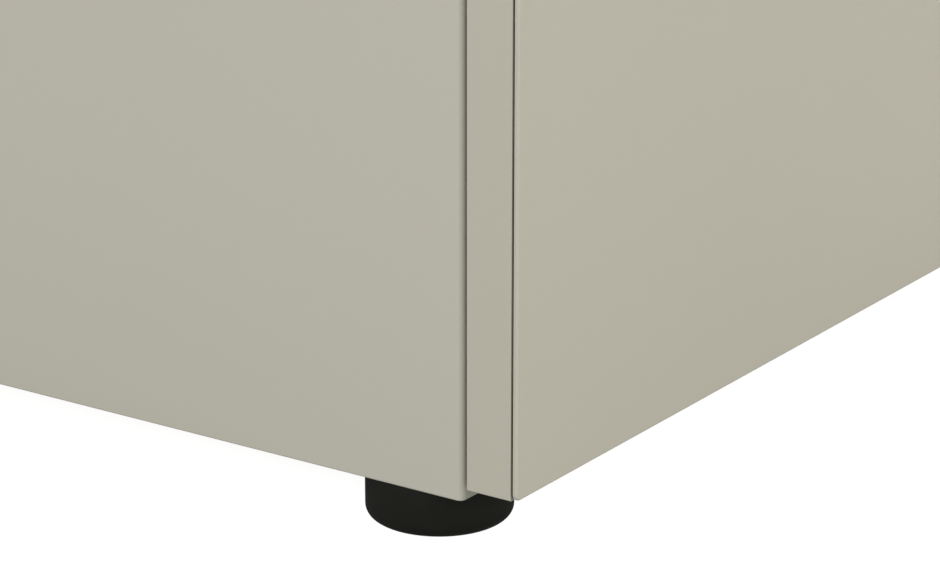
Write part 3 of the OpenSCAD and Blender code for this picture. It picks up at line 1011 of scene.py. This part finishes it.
# %% [markdown]
# ## Rivets
# Blind rivets hold the back sheet, the runners and the label holders. Each has a shallow dome with
# the mouth of its hollow mandrel in the middle, so one spun profile serves for all of them, and only
# the radius and the height of the head change.


# %% Shape a rivet
def add_shape(shape, other):
    """Adds another bmesh to this one and frees it."""
    spare = bpy.data.meshes.new("spare")
    other.to_mesh(spare)
    other.free()
    shape.from_mesh(spare)
    bpy.data.meshes.remove(spare)


def add_rivet(shape, centre, axis, radius, height):
    """Adds a domed head that stands on the plane through centre, facing along axis."""
    bore = 0.3 * radius
    dome = [(0, 0.2 * height), (bore, 0.2 * height), (bore, 0.9 * height), (1.25 * bore, height)]
    dome += [(radius * math.sin(a), height * math.cos(a)) for a in (0.7, 0.95, 1.2, 1.4, math.pi / 2)]
    dome += [(radius, -0.1 * height), (0, -0.1 * height)]
    add_shape(shape, spin_profile(dome, centre, axis, steps=28))


BACK_HEAD, RUNNER_HEAD, LABEL_HEAD = (4 * MM, 1.2 * MM), (4.2 * MM, 1.5 * MM), (1.6 * MM, 0.6 * MM)
print("rivet heads", [round(2 * head[0] / MM, 1) for head in (BACK_HEAD, RUNNER_HEAD, LABEL_HEAD)], "mm")

# %% Rivet the back
RIVET_INSET, RIVET_HEIGHTS = 8 * MM, (0.060, 0.355, 0.650)
rivets = bmesh.new()
low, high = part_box("case_side_right")
for x in (RIVET_INSET - high.x, high.x - RIVET_INSET):
    for z in RIVET_HEIGHTS:
        add_rivet(rivets, Vector((x, high.y, z)), (0, 1, 0), *BACK_HEAD)
finish_piece("case_rivets_domed", rivets, "case_fasteners")
print("rivets in the back:", 2 * len(RIVET_HEIGHTS))

# %% [markdown]
# ### The nut of the lock
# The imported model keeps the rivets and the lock's hexagon nut as one node. The rivets above took its
# place, so the nut is brought back as a copy of what lies in front of the middle of the cabinet.

# %% Keep the nut
nut = clean_copy("case_fasteners")
bmesh.ops.delete(nut, geom=[vert for vert in nut.verts if vert.co.y > 0], context="VERTS")
print("nut:", len(nut.faces), "faces")
ease_edges(finish_piece("lock_nut_hexagon", nut, "case_fasteners", replaces=False), 0.5 * MM)

# %% Rivet the runners
RUNNER_GAUGE = 1.2 * MM
ALONG = (0.06, 0.35, 0.65, 0.94)
for drawer in DRAWERS:
    for side, outwards in (("left", -1), ("right", 1)):
        node = f"runner_drawer_{drawer}_{side}"
        low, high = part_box(node)
        web = (high.x if side == "left" else low.x) + outwards * RUNNER_GAUGE
        rivets = bmesh.new()
        for share in ALONG:
            spot = Vector((web, low.y + (high.y - low.y) * share, (low.z + high.z) / 2))
            add_rivet(rivets, spot, (outwards, 0, 0), *RUNNER_HEAD)
        finish_piece(node + "_rivets", rivets, node, slot="zinc_plate", replaces=False)
print("rivets in each runner:", len(ALONG))

# %% [markdown]
# ## Label holders
# A label holder is stamped from thin strip: a frame with a crowned border, held by a rivet at either
# side of the card. A flat box loses its rear face, its front is inset and opened, and the edge of
# the opening is extruded into a short lip that the card rests behind. Then it gets its gauge.

# %% Shape the frame
BORDER, LIP, STRIP_GAUGE = 6 * MM, 1.1 * MM, 0.6 * MM
CORNER_R, CROWN_R, LIP_R = 2.0 * MM, 1.0 * MM, 0.4 * MM


def is_inside(edge, low, high):
    """Whether an edge of the frame belongs to its opening."""
    middle = (edge.verts[0].co + edge.verts[1].co) / 2
    margin = BORDER / 3
    return low.x + margin < middle.x < high.x - margin and low.z + margin < middle.z < high.z - margin


def stamped_frame(low, high):
    shape = box_shape(low, high)
    bmesh.ops.delete(shape, geom=[face_towards(shape, (0, 1, 0))], context="FACES_ONLY")
    mouth = face_towards(shape, (0, -1, 0))
    bmesh.ops.inset_individual(shape, faces=[mouth], thickness=BORDER, use_even_offset=True)
    rim = list(mouth.edges)
    bmesh.ops.delete(shape, geom=[mouth], context="FACES_ONLY")
    lip = bmesh.ops.extrude_edge_only(shape, edges=rim)["geom"]
    bmesh.ops.translate(shape, vec=(0, LIP, 0), verts=[v for v in lip if isinstance(v, bmesh.types.BMVert)])
    corners = [edge for edge in shape.edges if span(edge, 1) > MM and not is_inside(edge, low, high)]
    round_edges(shape, corners, CORNER_R, 5)
    for radius, inside in ((CROWN_R, False), (LIP_R, True)):
        rim = [edge for edge in edges_at(shape, low.y) if is_inside(edge, low, high) == inside]
        round_edges(shape, rim, radius, 5)
    bmesh.ops.recalc_face_normals(shape, faces=shape.faces)
    return shape


print("frame border", round(BORDER / MM), "mm")

# %% Stamp the label holders
for drawer in DRAWERS:
    node = "label_holder_" + drawer
    low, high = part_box(node)
    add_gauge(finish_piece(node + "_stamped", stamped_frame(low, high), node), STRIP_GAUGE)
    rivets = bmesh.new()
    for x in (low.x + BORDER / 2, high.x - BORDER / 2):
        add_rivet(rivets, Vector((x, low.y, (low.z + high.z) / 2)), (0, -1, 0), *LABEL_HEAD)
    finish_piece(node + "_rivets", rivets, node, replaces=False)
print("label holders stamped for", DRAWERS)

# %% [markdown]
# ## Handles
# A handle is a brushed bar on two posts. The ends of the bar are rounded like the tip of a finger,
# and each post flares to a foot where it meets the drawer front. Bar and posts are spun and put
# in one mesh, as they are welded and polished in one piece.

# %% Turn the handles
POST_PITCH, TIP_ROUND, POST_THINNER = 128 * MM, 3.5 * MM, 0.8 * MM
# How much thinner the post is than its foot, at each distance from the drawer front
FLARE = [(1.2 * MM, 5 * MM), (0.9 * MM, 3 * MM), (0.2 * MM, 1.4 * MM), (0, 0.8 * MM), (0, 0)]


def bar_outline(radius, length):
    tip = arc((TIP_ROUND, radius - TIP_ROUND), TIP_ROUND, 180, 90)
    outline = [(0, 0)] + [(y, x) for x, y in tip]
    return outline + [(r, length - h) for r, h in reversed(outline)]


def post_outline(radius, reach):
    flare = [(radius - thinner, reach - away) for thinner, away in FLARE]
    return [(0, 0), (flare[0][0], 0), *flare, (0, reach)]


for drawer in DRAWERS:
    node = "handle_" + drawer
    low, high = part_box(node)
    bar_r, length = (high.z - low.z) / 2, high.x - low.x
    bar = Vector((low.x, low.y + bar_r, (low.z + high.z) / 2))
    shape = spin_profile(bar_outline(bar_r, length), bar, axis=(1, 0, 0), steps=48)
    for sign in (-1, 1):
        foot = bar + Vector(((length + sign * POST_PITCH) / 2, 0, 0))
        outline = post_outline(bar_r - POST_THINNER, high.y - bar.y)
        add_shape(shape, spin_profile(outline, foot, axis=(0, 1, 0), steps=40))
    finish_piece(node + "_brushed", shape, node)
print("handles", round(length / MM), "mm long")

# %% [markdown]
# ## Runners
# Steel balls run between the three members of a runner, held apart by a strip. The outer two rows
# lie between the fixed and the middle member, the inner two between the middle and the drawer
# member. Strips and balls ride with the middle member and show when a drawer is pulled out.

# %% Load the ball cages
BALLS_IN_ROW, BALL_R, BALL_PITCH = 14, 1.15 * MM, 16 * MM
CAGE_HALF, CAGE_EDGE = Vector((1.6, 12.0, 0.25)) * MM, 0.15 * MM
OUTER_START, INNER_START = 0.40, 0.08  # where a row begins along the middle member


def load_row(balls, cages, first):
    """Adds one row of balls that starts at first, and the strip that holds it."""
    last = first + Vector((0, (BALLS_IN_ROW - 1) * BALL_PITCH, 0))
    for i in range(BALLS_IN_ROW):
        place = Matrix.Translation(first + Vector((0, i * BALL_PITCH, 0)))
        bmesh.ops.create_icosphere(balls, subdivisions=2, radius=BALL_R, matrix=place)
    strip = box_shape(first - CAGE_HALF, last + CAGE_HALF)
    round_edges(strip, strip.edges, CAGE_EDGE, 2)
    add_shape(cages, strip)


for drawer in DRAWERS:
    for side in SIDES:
        node = f"runner_mid_{drawer}_{side}"
        low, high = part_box(node)
        fixed_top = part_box(f"runner_fixed_{drawer}_{side}")[1].z
        drawer_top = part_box(f"runner_drawer_{drawer}_{side}")[1].z
        middle = (low + high) / 2
        outer = (high.z + fixed_top - RUNNER_GAUGE) / 2 - middle.z
        inner = (high.z - RUNNER_GAUGE + drawer_top) / 2 - middle.z
        balls, cages = bmesh.new(), bmesh.new()
        for offset, start in ((outer, OUTER_START), (inner, INNER_START)):
            y = low.y + (high.y - low.y) * start
            for sign in (-1, 1):
                load_row(balls, cages, Vector((middle.x, y, middle.z + sign * offset)))
        finish_piece(node + "_balls", balls, node, replaces=False)
        finish_piece(node + "_cages", cages, node, slot="zinc_plate", replaces=False)
print("balls in each runner:", 4 * BALLS_IN_ROW)

# %% [markdown]
# ## The lock
# The housing is turned: a chamfered collar that sits on the fascia and a body behind it with a
# groove every millimetre for the nut. Its outline is a closed ring, with the barrel's bore inside.
# The barrel shows as a polished face with its keyway.

# %% Turn the lock
BARREL_BORE, BODY_R, GROOVE_R = 6.55, 9.5, 9.1
COLLAR_T, GROOVES_FROM, GROOVES_SHORT = 1.5, 2.0, 3


def housing_outline(collar_r, depth):
    """Radius and height in millimetres, from the bore round the collar and the grooves and back."""
    outline = [(BARREL_BORE, 0.3), (BARREL_BORE + 0.3, 0), (collar_r - 1, 0), (collar_r - 0.3, 0.35)]
    outline += [(collar_r, 1), (collar_r, COLLAR_T), (BODY_R, COLLAR_T)]
    for i in range(int(depth - GROOVES_SHORT)):
        groove = GROOVES_FROM + i
        outline += [(BODY_R, groove), (GROOVE_R, groove + 0.35), (BODY_R, groove + 0.7)]
    return outline + [(BODY_R, depth), (BARREL_BORE, depth), (BARREL_BORE, 0.3)]


low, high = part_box("lock_housing")
collar_r, depth = (high.x - low.x) / 2 / MM, (high.y - low.y) / MM
front = Vector((LOCK_AXIS.x, low.y, LOCK_AXIS.z))
housing = spin_profile(millimetres(housing_outline(collar_r, depth)), front, axis=(0, 1, 0), steps=96)
finish_piece("lock_housing_turned", housing, "lock_housing")
eased_copy("lock_barrel", 0.25 * MM)
print("lock collar", round(2 * collar_r), "mm across")

# %% [markdown]
# ## Closing the box
# The pieces are meant to stay inside the imported box. At the end the view layer is brought up to date.

# %% Finish
bpy.context.view_layer.update()
